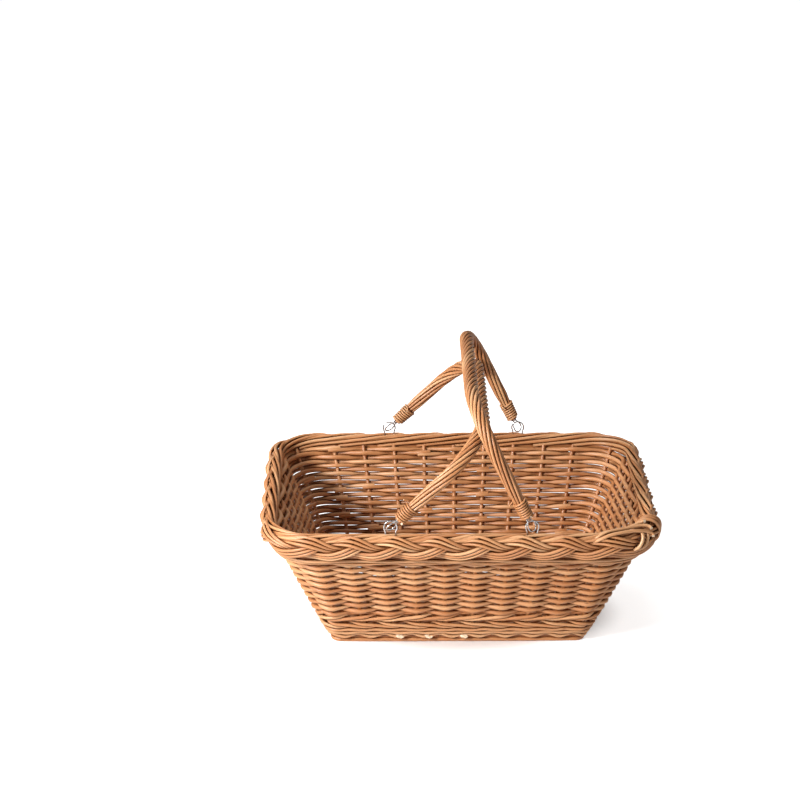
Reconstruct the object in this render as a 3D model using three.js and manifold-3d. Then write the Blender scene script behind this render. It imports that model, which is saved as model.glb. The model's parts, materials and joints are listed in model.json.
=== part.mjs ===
// Rectangular willow display basket with two swing handles.
// Millimetres, +Z up. The origin is the middle of the underside, +X runs along the length, -Y is the front.

import * as THREE from 'three';
import { mergeVertices } from 'three/addons/utils/BufferGeometryUtils.js';
import Module from 'manifold-3d';

const wasm = await Module();
wasm.setup();

// Overall sizes of the basket
const rimLength = 440;
const rimWidth = 323;
const rimCornerRadius = 62;
const basketHeight = 165;
const baseLength = 284;
const baseWidth = 160;
const baseCornerRadius = 20;

// Clearances between neighbouring pieces
const seatGap = 0.3;
const stakeTipGap = 1;

// Upright stakes: an odd count lets one strand alternate from row to row
const stakeCount = 33;
const stakeDiameter = 5;
const stakeSides = 5;

// Side weave: one strand, over one stake and behind the next
const weaverDiameter = 4.8;
const weaverRise = 5.9;
const strandSides = 4;

// Bottom wale: a foot turn on the ground, then turns over two stakes and behind one
const waleDiameter = 4.2;
const waleRise = 5.5;
const waleTurns = 4;
const climbSwing = 1.5;

// Base: cross sticks with a strand woven to and fro between them
const stickCount = 9;
const stickDiameter = 6;
const stickSpacing = 30;
const stickSides = 6;
const baseRodDiameter = 3.2;
const baseRowPitch = 6.8;
const squareFlatShare = 0.886;

// Plaited border: three bundles of rods rolled over the rim, running round as one closed strand
const rollRadius = 14;
const rollTurnDegrees = 25;
const bundleWidth = 12.4;
const bundleThickness = 4.4;
const bundleSides = 6;
const plaitSpreadShare = 1;
const plaitLiftShare = 0.9;
const plaitRepeats = 9 + 1 / 3;
const plaitPhaseDegrees = 84;
const plaitStations = 96;

// Wire staples in the border that carry the handles
const wireDiameter = 1.5;
const wireSides = 5;
const stapleRadius = 7;
const stapleLegLength = 18;
const stapleSpacing = 152;
const stapleInset = 13;
const hingeRise = 4.4;

// Swing handles: an arch of twisted rods with bound ends and wire eyes. The left one is a little
// shorter, so that its grip passes under the right one's
const leftReach = 140;
const rightReach = 146;
const handleCornerRadius = 66;
const leftLeanDegrees = 46;
const rightLeanDegrees = 26;
const gripDiameter = 16.4;
const gripLobes = 5;
const lobeValleyShare = 0.86;
const gripStationPitch = 12;
const legTurnDegrees = 9;
const gripTurnDegrees = 36;
const neckDiameter = 12.4;
const neckEndDiameter = 9.4;
const bindingStart = 11.6;
const bindingLength = 24;
const bindingRodDiameter = 2.4;
const bindingTurns = 5;
const bindingSides = 8;
const eyeHalfWidth = 4.6;
const eyeLegSpacing = 3.6;
const eyeSocketDepth = 9;
const eyeTurnDegrees = 45;

// Values worked out from the sizes above
const stakeRadius = stakeDiameter / 2;
const weaverRadius = weaverDiameter / 2;
const waleHalf = waleDiameter / 2 * squareFlatShare;
const stickRadius = stickDiameter / 2;
const baseRodRadius = baseRodDiameter / 2;
const wireRadius = wireDiameter / 2;
const gripRadius = gripDiameter / 2;
const plaitSpread = (bundleWidth + seatGap) * plaitSpreadShare;
const plaitLift = (bundleThickness + seatGap) * plaitLiftShare;
const rollReach = rollRadius + plaitLift + bundleThickness / 2;
const rollHeight = basketHeight - rollReach;
const wallHalf = stakeRadius + seatGap + waleDiameter;
const stickHeight = waleHalf * 2 + seatGap + stickRadius;
const stickTop = stickHeight + stickRadius;
const stakeFootHeight = stickTop + seatGap + stakeRadius;
const waleCorner = waleHalf * Math.SQRT2;
const waleOffset = stakeRadius + seatGap + waleDiameter / 2;
const hingeHeight = basketHeight + hingeRise;
const staplePitchWidth = rimWidth - stapleInset * 2;

const Z = new THREE.Vector3(0, 0, 1);
const X = new THREE.Vector3(1, 0, 0);
const Y = new THREE.Vector3(0, 1, 0);

// Materials
const willow = { color: 0xc98d55, roughness: 0.55, metalness: 0 };
const paleWillow = { color: 0xd8a36a, roughness: 0.55, metalness: 0 };
const darkWillow = { color: 0xb5773f, roughness: 0.6, metalness: 0 };
const steel = { color: 0xc9ccd0, roughness: 0.25, metalness: 1 };

function addMesh(parent, name, geometry, look) {
  const mesh = new THREE.Mesh(geometry, new THREE.MeshStandardMaterial(look));
  mesh.name = name;
  parent.add(mesh);
  return mesh;
}

// Solids from rings of points

function signedVolume(positions, index) {
  const a = new THREE.Vector3();
  const b = new THREE.Vector3();
  const c = new THREE.Vector3();
  let sum = 0;
  for (let i = 0; i < index.length; i += 3) {
    a.fromArray(positions, index[i] * 3);
    b.fromArray(positions, index[i + 1] * 3);
    c.fromArray(positions, index[i + 2] * 3);
    sum += a.dot(b.cross(c));
  }
  return sum;
}

// Joins rings of equal count into one solid, as a closed loop or with flat ends
function loft(rings, closed) {
  const count = rings[0].length;
  const positions = rings.flat().flatMap((p) => [p.x, p.y, p.z]);
  const index = [];
  const spans = closed ? rings.length : rings.length - 1;
  for (let i = 0; i < spans; i += 1) {
    const from = i * count;
    const to = ((i + 1) % rings.length) * count;
    for (let k = 0; k < count; k += 1) {
      const next = (k + 1) % count;
      index.push(from + k, to + k, to + next);
      index.push(from + k, to + next, from + next);
    }
  }
  if (!closed) {
    const last = (rings.length - 1) * count;
    for (let k = 1; k < count - 1; k += 1) {
      index.push(0, k, k + 1);
      index.push(last, last + k + 1, last + k);
    }
  }
  if (signedVolume(positions, index) < 0) index.reverse();
  const geometry = new THREE.BufferGeometry();
  geometry.setAttribute('position', new THREE.Float32BufferAttribute(positions, 3));
  geometry.setIndex(index);
  geometry.computeVertexNormals();
  return geometry;
}

// One ring round a point: half sizes along two axes, with the first corner turned by an angle
function ring(centre, axisA, axisB, halfA, halfB, sides, turn = 0) {
  const points = [];
  for (let k = 0; k < sides; k += 1) {
    const angle = turn + (k / sides) * Math.PI * 2;
    const point = centre.clone();
    point.addScaledVector(axisA, halfA * Math.cos(angle));
    point.addScaledVector(axisB, halfB * Math.sin(angle));
    points.push(point);
  }
  return points;
}

// Frames along a path: the second axis stays close to the given direction, corners are mitred
function pathFrames(points, upright) {
  return points.map((point, i) => {
    const before = points[Math.max(i - 1, 0)];
    const after = points[Math.min(i + 1, points.length - 1)];
    const arriving = point.clone().sub(before).normalize();
    const leaving = after.clone().sub(point).normalize();
    const along = arriving.clone().add(leaving).normalize();
    const side = along.clone().cross(upright).normalize();
    const mitre = i === 0 || i === points.length - 1 ? 1 : 1 / Math.max(along.dot(leaving), 0.7);
    return { point, side, up: side.clone().cross(along).normalize(), mitre };
  });
}

function wireTube(points, upright, radius) {
  const rings = pathFrames(points, upright).map((f) =>
    ring(f.point, f.side, f.up, radius * f.mitre, radius, wireSides));
  return loft(rings, false);
}

// Straight rod from one point to another
function rod(from, to, radius, sides, upright) {
  const along = to.clone().sub(from).normalize();
  const side = along.clone().cross(upright).normalize();
  const up = side.clone().cross(along);
  return loft([from, to].map((p) => ring(p, side, up, radius, radius, sides, Math.PI / 2)), false);
}

// Cuts with the boolean library

function toManifold(geometry) {
  const bare = geometry.clone();
  bare.deleteAttribute('normal');
  bare.deleteAttribute('uv');
  const merged = mergeVertices(bare, 1e-4);
  const vertProperties = new Float32Array(merged.attributes.position.array);
  const triVerts = new Uint32Array(merged.index.array);
  return new wasm.Manifold(new wasm.Mesh({ numProp: 3, vertProperties, triVerts }));
}

function cutAway(geometry, tools) {
  let body = toManifold(geometry);
  for (const tool of tools) body = body.subtract(toManifold(tool));
  const mesh = body.getMesh();
  const result = new THREE.BufferGeometry();
  result.setAttribute('position', new THREE.Float32BufferAttribute(mesh.vertProperties, 3));
  result.setIndex(Array.from(mesh.triVerts));
  result.computeVertexNormals();
  return result;
}

// Outline of the basket at any height

// Stretches of a rounded rectangle, walked round from the middle of the back towards -X
function stretches(outline) {
  const long = (outline.halfLength - outline.radius) * 2;
  const short = (outline.halfWidth - outline.radius) * 2;
  const corner = outline.radius * Math.PI / 2;
  return [long / 2, corner, short, corner, long, corner, short, corner, long / 2];
}

function cornerCentre(corner, outline) {
  const angle = (corner + 1.5) * Math.PI / 2;
  const x = Math.sign(Math.cos(angle)) * (outline.halfLength - outline.radius);
  const y = Math.sign(Math.sin(angle)) * (outline.halfWidth - outline.radius);
  return new THREE.Vector3(x, y, 0);
}

// Point and outward direction on an outline, at a share of the way round
function outlineAt(share, outline, lengths) {
  const total = lengths.reduce((sum, length) => sum + length, 0);
  let left = (share - Math.floor(share)) * total;
  let piece = 0;
  while (piece < lengths.length - 1 && left > lengths[piece]) {
    left -= lengths[piece];
    piece += 1;
  }
  const along = left / lengths[piece];
  const side = piece >> 1;
  const centre = cornerCentre(side, outline);
  let facing = (1 + side) * Math.PI / 2;
  if (piece % 2 === 1) {
    facing += along * Math.PI / 2;
  } else {
    const from = cornerCentre(side - 1, outline);
    const middle = from.clone().lerp(centre, 0.5);
    const start = side === 0 ? middle : from;
    const end = side === 4 ? middle : centre;
    centre.copy(start.clone().lerp(end, along));
  }
  const outward = new THREE.Vector3(Math.cos(facing), Math.sin(facing), 0);
  return { point: centre.addScaledVector(outward, outline.radius), outward };
}

// Middle of the wall on the ground, and the middle of the rolled border
const footOutline = {
  halfLength: baseLength / 2 - wallHalf,
  halfWidth: baseWidth / 2 - wallHalf,
  radius: baseCornerRadius - wallHalf,
};
const rollOutline = {
  halfLength: rimLength / 2 - rollReach,
  halfWidth: rimWidth / 2 - rollReach,
  radius: rimCornerRadius - rollReach,
};
const middleOutline = {
  halfLength: (footOutline.halfLength + rollOutline.halfLength) / 2,
  halfWidth: (footOutline.halfWidth + rollOutline.halfWidth) / 2,
  radius: (footOutline.radius + rollOutline.radius) / 2,
};
const wallLengths = stretches(middleOutline);
const rollLengths = stretches(rollOutline);

// Wall frame at a share of the way round: foot point, full rise, outward normal and walking direction
function wallAt(share) {
  const foot = outlineAt(share, footOutline, wallLengths);
  const head = outlineAt(share, rollOutline, wallLengths);
  const rise = head.point.sub(foot.point).setZ(rollHeight);
  const along = Z.clone().cross(foot.outward);
  const normal = along.clone().cross(rise).normalize();
  return { foot: foot.point, rise, slope: rise.clone().normalize(), normal, along };
}

function wallPoint(wall, height) {
  return wall.foot.clone().addScaledVector(wall.rise, height / rollHeight);
}

const stakeWalls = [];
for (let i = 0; i < stakeCount; i += 1) stakeWalls.push(wallAt(i / stakeCount));

// A strand woven through the stakes. Each pass has a height, a side (1 outside, -1 inside, 0 below
// the stakes), and swings out further where the wall turns, so that it clears the stake
function weave(passes, offset, cornerRadius, turn) {
  const nominal = passes.map((pass) =>
    wallPoint(pass.wall, pass.height).addScaledVector(pass.wall.normal, pass.side * offset));
  const rings = passes.map((pass, i) => {
    const { wall, side } = pass;
    let steepest = 0;
    for (const near of [nominal[i - 1], nominal[i + 1]]) {
      if (near) {
        const step = near.clone().sub(nominal[i]);
        const inward = -side * step.dot(wall.normal);
        steepest = Math.max(steepest, Math.atan2(inward, Math.abs(step.dot(wall.along))));
      }
    }
    const swing = side * offset * (1 / Math.cos(steepest) - 1);
    const centre = nominal[i].clone().addScaledVector(wall.normal, swing);
    const upright = side === 0 ? Z : wall.slope;
    const across = side === 0 ? Z.clone().cross(wall.along).negate() : wall.normal;
    return ring(centre, across, upright, cornerRadius, cornerRadius, strandSides, turn);
  });
  return loft(rings, false);
}

// Pieces of the basket

// Passes of the bottom wale: it lies on the ground, climbs along the right end, where no base stick
// comes out, and then winds up over two stakes and behind one
function walePasses() {
  const sum = (lengths) => lengths.reduce((total, length) => total + length, 0);
  const endFrom = sum(wallLengths.slice(0, 6)) / sum(wallLengths);
  const endTo = sum(wallLengths.slice(0, 7)) / sum(wallLengths);
  const climbFrom = Math.floor(endFrom * stakeCount);
  const climbTo = Math.ceil(endTo * stakeCount);
  const drop = waleOffset * stakeWalls[0].normal.z;
  const startHeight = stickTop + seatGap + waleCorner - drop;
  const passes = [];
  for (let i = climbTo - stakeCount; i <= climbTo + waleTurns * stakeCount; i += 1) {
    const turn = (i - climbTo) / stakeCount;
    const climb = THREE.MathUtils.clamp((i - climbFrom) / (climbTo - climbFrom), 0, 1);
    const height = waleHalf + (startHeight - waleHalf) * climb + Math.max(turn, 0) * waleRise;
    const isInside = turn >= 0 && (i + Math.floor(turn)) % 3 === 0;
    const side = isInside ? -1 : Math.min(climb * climbSwing, 1);
    passes.push({ wall: stakeWalls[(i + stakeCount) % stakeCount], height, side });
  }
  return passes;
}

const bottomWale = walePasses();
const waleTopHeight = bottomWale[bottomWale.length - 1].height;
const weaveStartHeight = waleTopHeight + waleCorner + seatGap + weaverRadius;
const weaveTopHeight = rollHeight - rollRadius / 2;
const weaveTurns = Math.floor((weaveTopHeight - weaveStartHeight) / weaverRise);

function makeSideWeave() {
  const passes = [];
  for (let i = 0; i <= weaveTurns * stakeCount; i += 1) {
    const height = weaveStartHeight + (i / stakeCount) * weaverRise;
    passes.push({ wall: stakeWalls[i % stakeCount], height, side: i % 2 === 0 ? 1 : -1 });
  }
  return weave(passes, stakeRadius + seatGap + weaverRadius, weaverRadius, 0);
}

// Plaited border: each station holds one ring of a bundle, rolled round the rim
function makePlait() {
  const rings = [];
  for (let j = 0; j < plaitStations * 3; j += 1) {
    const place = outlineAt(j / plaitStations, rollOutline, rollLengths);
    const turned = (j / plaitStations) * plaitRepeats * Math.PI * 2;
    const phase = turned + THREE.MathUtils.degToRad(plaitPhaseDegrees);
    const across = plaitSpread * Math.cos(phase);
    const lift = plaitLift * Math.sin(phase * 2);
    const points = [];
    for (let k = 0; k < bundleSides; k += 1) {
      const angle = (k / bundleSides) * Math.PI * 2;
      const around = (across + bundleWidth / 2 * Math.cos(angle)) / rollRadius;
      const depth = rollRadius + lift + bundleThickness / 2 * Math.sin(angle);
      const facing = THREE.MathUtils.degToRad(rollTurnDegrees) + around;
      const point = place.point.clone().setZ(rollHeight);
      point.addScaledVector(place.outward, depth * Math.cos(facing));
      point.addScaledVector(Z, depth * Math.sin(facing));
      points.push(point);
    }
    rings.push(points);
  }
  return loft(rings, true);
}

// Arch of a wire staple: two legs down from the hinge line and a half ring over it
function stapleGeometry(radius) {
  const points = [new THREE.Vector3(-stapleRadius, 0, -stapleLegLength)];
  const arcSteps = 8;
  for (let i = 0; i <= arcSteps; i += 1) {
    const angle = Math.PI * (1 - i / arcSteps);
    points.push(new THREE.Vector3(Math.cos(angle), 0, Math.sin(angle)).multiplyScalar(stapleRadius));
  }
  points.push(new THREE.Vector3(stapleRadius, 0, -stapleLegLength));
  return wireTube(points, Y, radius);
}

const stapleSpots = [
  { name: 'front_left', x: -stapleSpacing / 2, y: -staplePitchWidth / 2 },
  { name: 'front_right', x: stapleSpacing / 2, y: -staplePitchWidth / 2 },
  { name: 'back_left', x: -stapleSpacing / 2, y: staplePitchWidth / 2 },
  { name: 'back_right', x: stapleSpacing / 2, y: staplePitchWidth / 2 },
];

// How far up its own line a stake may reach before it meets the plait
function stakeLength(foot, wall, plait) {
  const caster = new THREE.Raycaster();
  const target = new THREE.Mesh(plait, new THREE.MeshBasicMaterial({ side: THREE.DoubleSide }));
  const starts = [foot.clone()];
  for (const share of [0.2, 0.4, 0.6, 0.8, 1]) {
    const radius = (stakeRadius + seatGap) * share;
    starts.push(...ring(foot, wall.along, wall.normal, radius, radius, stakeSides * 6));
  }
  let reach = (rollHeight + rollRadius - foot.z) / wall.slope.z;
  for (const start of starts) {
    caster.set(start, wall.slope);
    const hits = caster.intersectObject(target);
    if (hits.length > 0) reach = Math.min(reach, hits[0].distance - stakeTipGap);
  }
  return reach;
}

// Half length that the base weave may have on a line at a distance from the middle
function baseHalfLengthAt(y, inset) {
  const cornerY = footOutline.halfWidth - footOutline.radius;
  const over = Math.max(Math.abs(y) - cornerY, 0);
  const radius = footOutline.radius;
  const drop = radius - Math.sqrt(Math.max(radius * radius - over * over, 0));
  return footOutline.halfLength - drop - inset;
}

function makeBaseWeave() {
  const inset = waleHalf + seatGap + baseRodRadius * Math.SQRT2;
  const halfWidth = footOutline.halfWidth - inset;
  const rows = Math.floor(halfWidth * 2 / baseRowPitch) + 1;
  const lift = stickRadius + seatGap + baseRodRadius;
  const points = [];
  for (let row = 0; row < rows; row += 1) {
    const y = (row - (rows - 1) / 2) * baseRowPitch;
    const way = row % 2 === 0 ? 1 : -1;
    const end = baseHalfLengthAt(y, inset);
    const heightAt = (i) => stickHeight + ((i + row) % 2 === 0 ? lift : -lift);
    points.push(new THREE.Vector3(-way * end, y, heightAt(0)));
    for (let i = 0; i < stickCount; i += 1) {
      const x = way * (i - (stickCount - 1) / 2) * stickSpacing;
      points.push(new THREE.Vector3(x, y, heightAt(i)));
    }
    points.push(new THREE.Vector3(way * end, y, heightAt(stickCount - 1)));
  }
  const rings = pathFrames(points, Z).map((f) =>
    ring(f.point, f.side, f.up, baseRodRadius * f.mitre, baseRodRadius, strandSides));
  return loft(rings, false);
}

function makeBasket(parent) {
  for (let i = 0; i < stickCount; i += 1) {
    const x = (i - (stickCount - 1) / 2) * stickSpacing;
    const from = new THREE.Vector3(x, -baseWidth / 2, stickHeight);
    const to = new THREE.Vector3(x, baseWidth / 2, stickHeight);
    const stick = rod(from, to, stickRadius, stickSides, Z);
    addMesh(parent, `base_stick_${i + 1}`, stick, darkWillow);
  }
  addMesh(parent, 'base_weave', makeBaseWeave(), darkWillow);
  addMesh(parent, 'bottom_wale', weave(bottomWale, waleOffset, waleCorner, Math.PI / 4), willow);
  addMesh(parent, 'side_weave', makeSideWeave(), willow);

  const plait = makePlait();
  stakeWalls.forEach((wall, i) => {
    const foot = wallPoint(wall, stakeFootHeight);
    const tip = foot.clone().addScaledVector(wall.slope, stakeLength(foot, wall, plait));
    const stake = rod(foot, tip, stakeRadius, stakeSides, wall.normal);
    addMesh(parent, `stake_${String(i + 1).padStart(2, '0')}`, stake, darkWillow);
  });

  const holes = [];
  for (const spot of stapleSpots) {
    const place = new THREE.Matrix4().makeTranslation(spot.x, spot.y, hingeHeight);
    holes.push(stapleGeometry(wireRadius + seatGap).applyMatrix4(place));
    const staple = addMesh(parent, `staple_${spot.name}`, stapleGeometry(wireRadius), steel);
    staple.position.set(spot.x, spot.y, hingeHeight);
  }
  addMesh(parent, 'border', cutAway(plait, holes), paleWillow);
}

// Pieces of a handle, built upright over its hinge line: legs along +Z, the grip along Y

// Middle line of the arch, with an even step
function archPoints(start, reach) {
  const halfSpan = staplePitchWidth / 2;
  const legTop = reach - handleCornerRadius;
  const curve = new THREE.CurvePath();
  const corner = (way) => new THREE.Vector3(0, way * halfSpan, legTop);
  const shoulder = (way) => new THREE.Vector3(0, way * (halfSpan - handleCornerRadius), reach);
  curve.add(new THREE.LineCurve3(new THREE.Vector3(0, -halfSpan, start), corner(-1)));
  curve.add(new QuarterArc(corner(-1), shoulder(-1)));
  curve.add(new THREE.LineCurve3(shoulder(-1), shoulder(1)));
  curve.add(new QuarterArc(shoulder(1), corner(1)));
  curve.add(new THREE.LineCurve3(corner(1), new THREE.Vector3(0, halfSpan, start)));
  const steps = Math.ceil(curve.getLength() / gripStationPitch);
  return curve.getSpacedPoints(steps);
}

// Quarter circle between a leg and the grip
class QuarterArc extends THREE.Curve {
  constructor(from, to) {
    super();
    this.from = from;
    this.to = to;
  }

  getPoint(t) {
    const risesFirst = this.to.z > this.from.z;
    const inner = new THREE.Vector3(0, risesFirst ? this.to.y : this.from.y, Math.min(this.from.z, this.to.z));
    const a = this.from.clone().sub(inner).multiplyScalar(Math.cos(t * Math.PI / 2));
    const b = this.to.clone().sub(inner).multiplyScalar(Math.sin(t * Math.PI / 2));
    return inner.add(a).add(b);
  }
}

// Radius of the grip's neck inside the binding, at a height over the hinge line
function neckRadiusAt(height) {
  const share = (height - bindingStart) / bindingLength;
  return (neckEndDiameter + (neckDiameter - neckEndDiameter) * share) / 2;
}

function makeGrip(reach) {
  const start = bindingStart + seatGap;
  const neckTop = bindingStart + bindingLength;
  const shoulder = neckTop + seatGap;
  const halfSpan = staplePitchWidth / 2;
  const leg = (way) =>
    [start, neckTop, shoulder].map((z) => new THREE.Vector3(0, way * halfSpan, z));
  const arch = archPoints(shoulder, reach).slice(1, -1);
  const path = [...leg(-1), ...arch, ...leg(1).reverse()];
  let turn = 0;
  const rings = pathFrames(path, X).map((f, i) => {
    const height = f.point.z;
    if (i > 0) {
      const share = (height - start) / (reach - start);
      const rate = legTurnDegrees + (gripTurnDegrees - legTurnDegrees) * share;
      const step = f.point.distanceTo(path[i - 1]) / gripStationPitch;
      turn += THREE.MathUtils.degToRad(rate) * step;
    }
    const isNeck = height < (neckTop + shoulder) / 2;
    const radius = isNeck ? neckRadiusAt(height) : gripRadius;
    return ring(f.point, f.side, f.up, radius, radius, gripLobes * 2, turn).map((p, k) => {
      if (k % 2 === 0 || isNeck) return p;
      return f.point.clone().lerp(p, lobeValleyShare);
    });
  });
  const sockets = [-1, 1].map((way) => eyeGeometry(way, wireRadius + seatGap));
  return cutAway(loft(rings, false), sockets);
}

// Binding of thin rod round a handle's end: a ridge for each turn, bored for the grip's neck
function makeBinding(way) {
  const profile = [];
  const ridge = bindingRodDiameter / 4;
  const toCorner = 1 / Math.cos(Math.PI / bindingSides);
  const boreAt = (height) => (neckRadiusAt(height) + seatGap) * toCorner;
  const end = bindingStart + bindingLength;
  for (let i = 0; i <= bindingTurns * 2; i += 1) {
    const height = bindingStart + bindingLength * i / (bindingTurns * 2);
    const wall = bindingRodDiameter - ridge * (i % 2 === 1 ? 0 : 2);
    profile.push(new THREE.Vector2(boreAt(height) + wall, height));
  }
  profile.push(new THREE.Vector2(boreAt(end), end));
  profile.push(new THREE.Vector2(boreAt(bindingStart), bindingStart));
  profile.push(profile[0].clone());
  const lathe = new THREE.LatheGeometry(profile.reverse(), bindingSides);
  lathe.rotateX(Math.PI / 2);
  lathe.translate(0, way * staplePitchWidth / 2, 0);
  return closedGeometry(lathe);
}

// Merges a lathe's seam so that it is one closed skin facing outwards
function closedGeometry(geometry) {
  geometry.deleteAttribute('normal');
  geometry.deleteAttribute('uv');
  const merged = mergeVertices(geometry, 1e-4);
  const index = Array.from(merged.index.array);
  if (signedVolume(merged.attributes.position.array, index) < 0) index.reverse();
  merged.setIndex(index);
  merged.computeVertexNormals();
  return merged;
}

// Wire eye at a handle's end: a drop-shaped loop that hangs round its staple's arch, with two legs
// in the grip
function eyeGeometry(way, radius) {
  const loopEnd = stapleRadius - wireDiameter - seatGap * 4;
  const loopCentre = eyeHalfWidth - loopEnd;
  const neck = stapleRadius + wireDiameter + seatGap * 2;
  const legTop = bindingStart + seatGap + eyeSocketDepth + (radius > wireRadius ? seatGap : 0);
  const legHalf = eyeLegSpacing / 2;
  const points = [new THREE.Vector2(-legHalf, legTop), new THREE.Vector2(-legHalf, neck)];
  const arcSteps = 6;
  for (let i = 0; i <= arcSteps; i += 1) {
    const angle = Math.PI * (1 + i / arcSteps);
    const across = eyeHalfWidth * Math.cos(angle);
    points.push(new THREE.Vector2(across, loopCentre + eyeHalfWidth * Math.sin(angle)));
  }
  points.push(new THREE.Vector2(legHalf, neck), new THREE.Vector2(legHalf, legTop));
  const turn = THREE.MathUtils.degToRad(eyeTurnDegrees);
  const across = new THREE.Vector3(Math.sin(turn), Math.cos(turn), 0);
  const upright = Z.clone().cross(across);
  const centre = new THREE.Vector3(0, way * staplePitchWidth / 2, 0);
  const path = points.map((p) =>
    centre.clone().addScaledVector(across, p.x).addScaledVector(Z, p.y));
  return wireTube(path, upright, radius);
}

function makeHandle(parent, side, way, leanDegrees, reach) {
  const handle = new THREE.Group();
  handle.position.set(way * stapleSpacing / 2, 0, hingeHeight);
  handle.rotation.y = THREE.MathUtils.degToRad(-way * leanDegrees);
  parent.add(handle);
  addMesh(handle, `${side}_grip`, makeGrip(reach), paleWillow);
  for (const [place, end] of [['front', -1], ['back', 1]]) {
    addMesh(handle, `${side}_${place}_binding`, makeBinding(end), willow);
    addMesh(handle, `${side}_${place}_eye`, eyeGeometry(end, wireRadius), steel);
  }
}

const basket = new THREE.Group();
makeBasket(basket);
makeHandle(basket, 'left', -1, leftLeanDegrees, leftReach);
makeHandle(basket, 'right', 1, rightLeanDegrees, rightReach);

export default basket;
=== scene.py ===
import bpy
import json
import random
from itertools import combinations
from math import copysign, cos, hypot, pi, radians, sin, sqrt, tau
from mathutils import Matrix, Vector, noise

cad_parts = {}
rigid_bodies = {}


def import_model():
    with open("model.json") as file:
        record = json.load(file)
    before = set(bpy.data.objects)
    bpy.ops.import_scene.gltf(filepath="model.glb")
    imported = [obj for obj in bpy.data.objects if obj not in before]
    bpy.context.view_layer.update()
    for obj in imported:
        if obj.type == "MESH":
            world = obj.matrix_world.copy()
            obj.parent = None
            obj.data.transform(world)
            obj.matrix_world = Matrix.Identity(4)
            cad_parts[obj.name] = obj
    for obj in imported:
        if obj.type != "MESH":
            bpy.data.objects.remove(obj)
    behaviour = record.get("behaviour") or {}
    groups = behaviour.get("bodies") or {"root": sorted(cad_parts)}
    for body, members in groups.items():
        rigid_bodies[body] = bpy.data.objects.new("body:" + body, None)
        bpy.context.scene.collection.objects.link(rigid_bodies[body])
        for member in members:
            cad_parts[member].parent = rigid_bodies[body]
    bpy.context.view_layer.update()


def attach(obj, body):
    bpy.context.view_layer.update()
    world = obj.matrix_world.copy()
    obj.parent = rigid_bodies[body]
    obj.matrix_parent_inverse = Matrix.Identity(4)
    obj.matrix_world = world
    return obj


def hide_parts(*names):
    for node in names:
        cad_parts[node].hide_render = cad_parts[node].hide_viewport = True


# Woven willow basket: every rod is laid as a curve along its own path and then made a mesh.
# Sizes are in millimetres, and they become metres when a rod is laid.

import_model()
print("frame loaded")

mm = 0.001
zAxis = Vector((0, 0, 1))
seed = random.Random(11)


# Camera
cameraValues = {
    "target": (-64.5, 0, 259.6),
    "turn": -0.47,  # degrees round the basket
    "rise": 20.42,  # degrees above level
    "distance": 2758,
    "lens": 111.4,
}


def addCamera(values):
    turn, rise = radians(values["turn"]), radians(values["rise"])
    level = cos(rise)
    back = Vector((sin(turn) * level, -cos(turn) * level, sin(rise)))
    place = (Vector(values["target"]) + back * values["distance"]) * mm
    facing = (-back).to_track_quat("-Z", "Y").to_euler()
    bpy.ops.object.camera_add(location=place, rotation=facing)
    camera = bpy.context.object
    camera.name = "viewCamera"
    camera.data.lens = values["lens"]
    bpy.context.scene.camera = camera


addCamera(cameraValues)
print("camera set")


# Gives a node's inputs their values, or links them to other nodes' outputs
def setInputs(tree, node, inputs):
    for name, value in inputs.items():
        if isinstance(value, bpy.types.NodeSocket):
            tree.links.new(value, node.inputs[name])
        else:
            node.inputs[name].default_value = value


def addNode(tree, kind, x, y, inputs=None, **settings):
    node = tree.nodes.new(f"ShaderNode{kind}")
    node.location = (x, y)
    for name, value in settings.items():
        setattr(node, name, value)
    setInputs(tree, node, inputs or {})
    return node


def addMath(tree, x, y, operation, *numbers):
    inputs = dict(enumerate(numbers))
    return addNode(tree, "Math", x, y, inputs, operation=operation).outputs["Value"]


def addRange(tree, x, y, value, given, result, **settings):
    limits = zip(("From Min", "From Max", "To Min", "To Max"), (*given, *result))
    inputs = {"Value": value, **dict(limits)}
    return addNode(tree, "MapRange", x, y, inputs, **settings).outputs["Result"]


def addRamp(tree, x, y, value, stops):
    node = addNode(tree, "ValToRGB", x, y, {"Fac": value})
    elements = node.color_ramp.elements
    while len(elements) < len(stops):
        elements.new(0.5)
    for element, (place, colour) in zip(elements, stops):
        element.position = place
        element.color = (*colour, 1)
    return node.outputs["Color"]


# One colour over another, which is a colour or an output
def addMix(tree, x, y, share, under, over):
    inputs = {"Factor": share, "A": under, "B": over}
    return addNode(tree, "Mix", x, y, inputs, data_type="RGBA").outputs["Result"]


# Noise in a rod's own coordinates: across it twice and along it
def addNoise(tree, x, y, coords, scale, detail, roughness=0.5):
    space = addNode(tree, "Mapping", x, y, {"Vector": coords, "Scale": scale}).outputs["Vector"]
    inputs = {"Vector": space, "Scale": 1.0, "Detail": detail, "Roughness": roughness}
    return addNode(tree, "TexNoise", x + 250, y, inputs).outputs["Fac"]


def addBump(tree, x, y, look, heights):
    inputs = {"Strength": look["bump"], "Distance": look["bumpDepth"], "Height": heights}
    return addNode(tree, "Bump", x, y, inputs).outputs["Normal"]


def newMaterial(name):
    material = bpy.data.materials.new(name)
    material.use_nodes = True
    tree = material.node_tree
    return material, tree, tree.nodes["Principled BSDF"]


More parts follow.
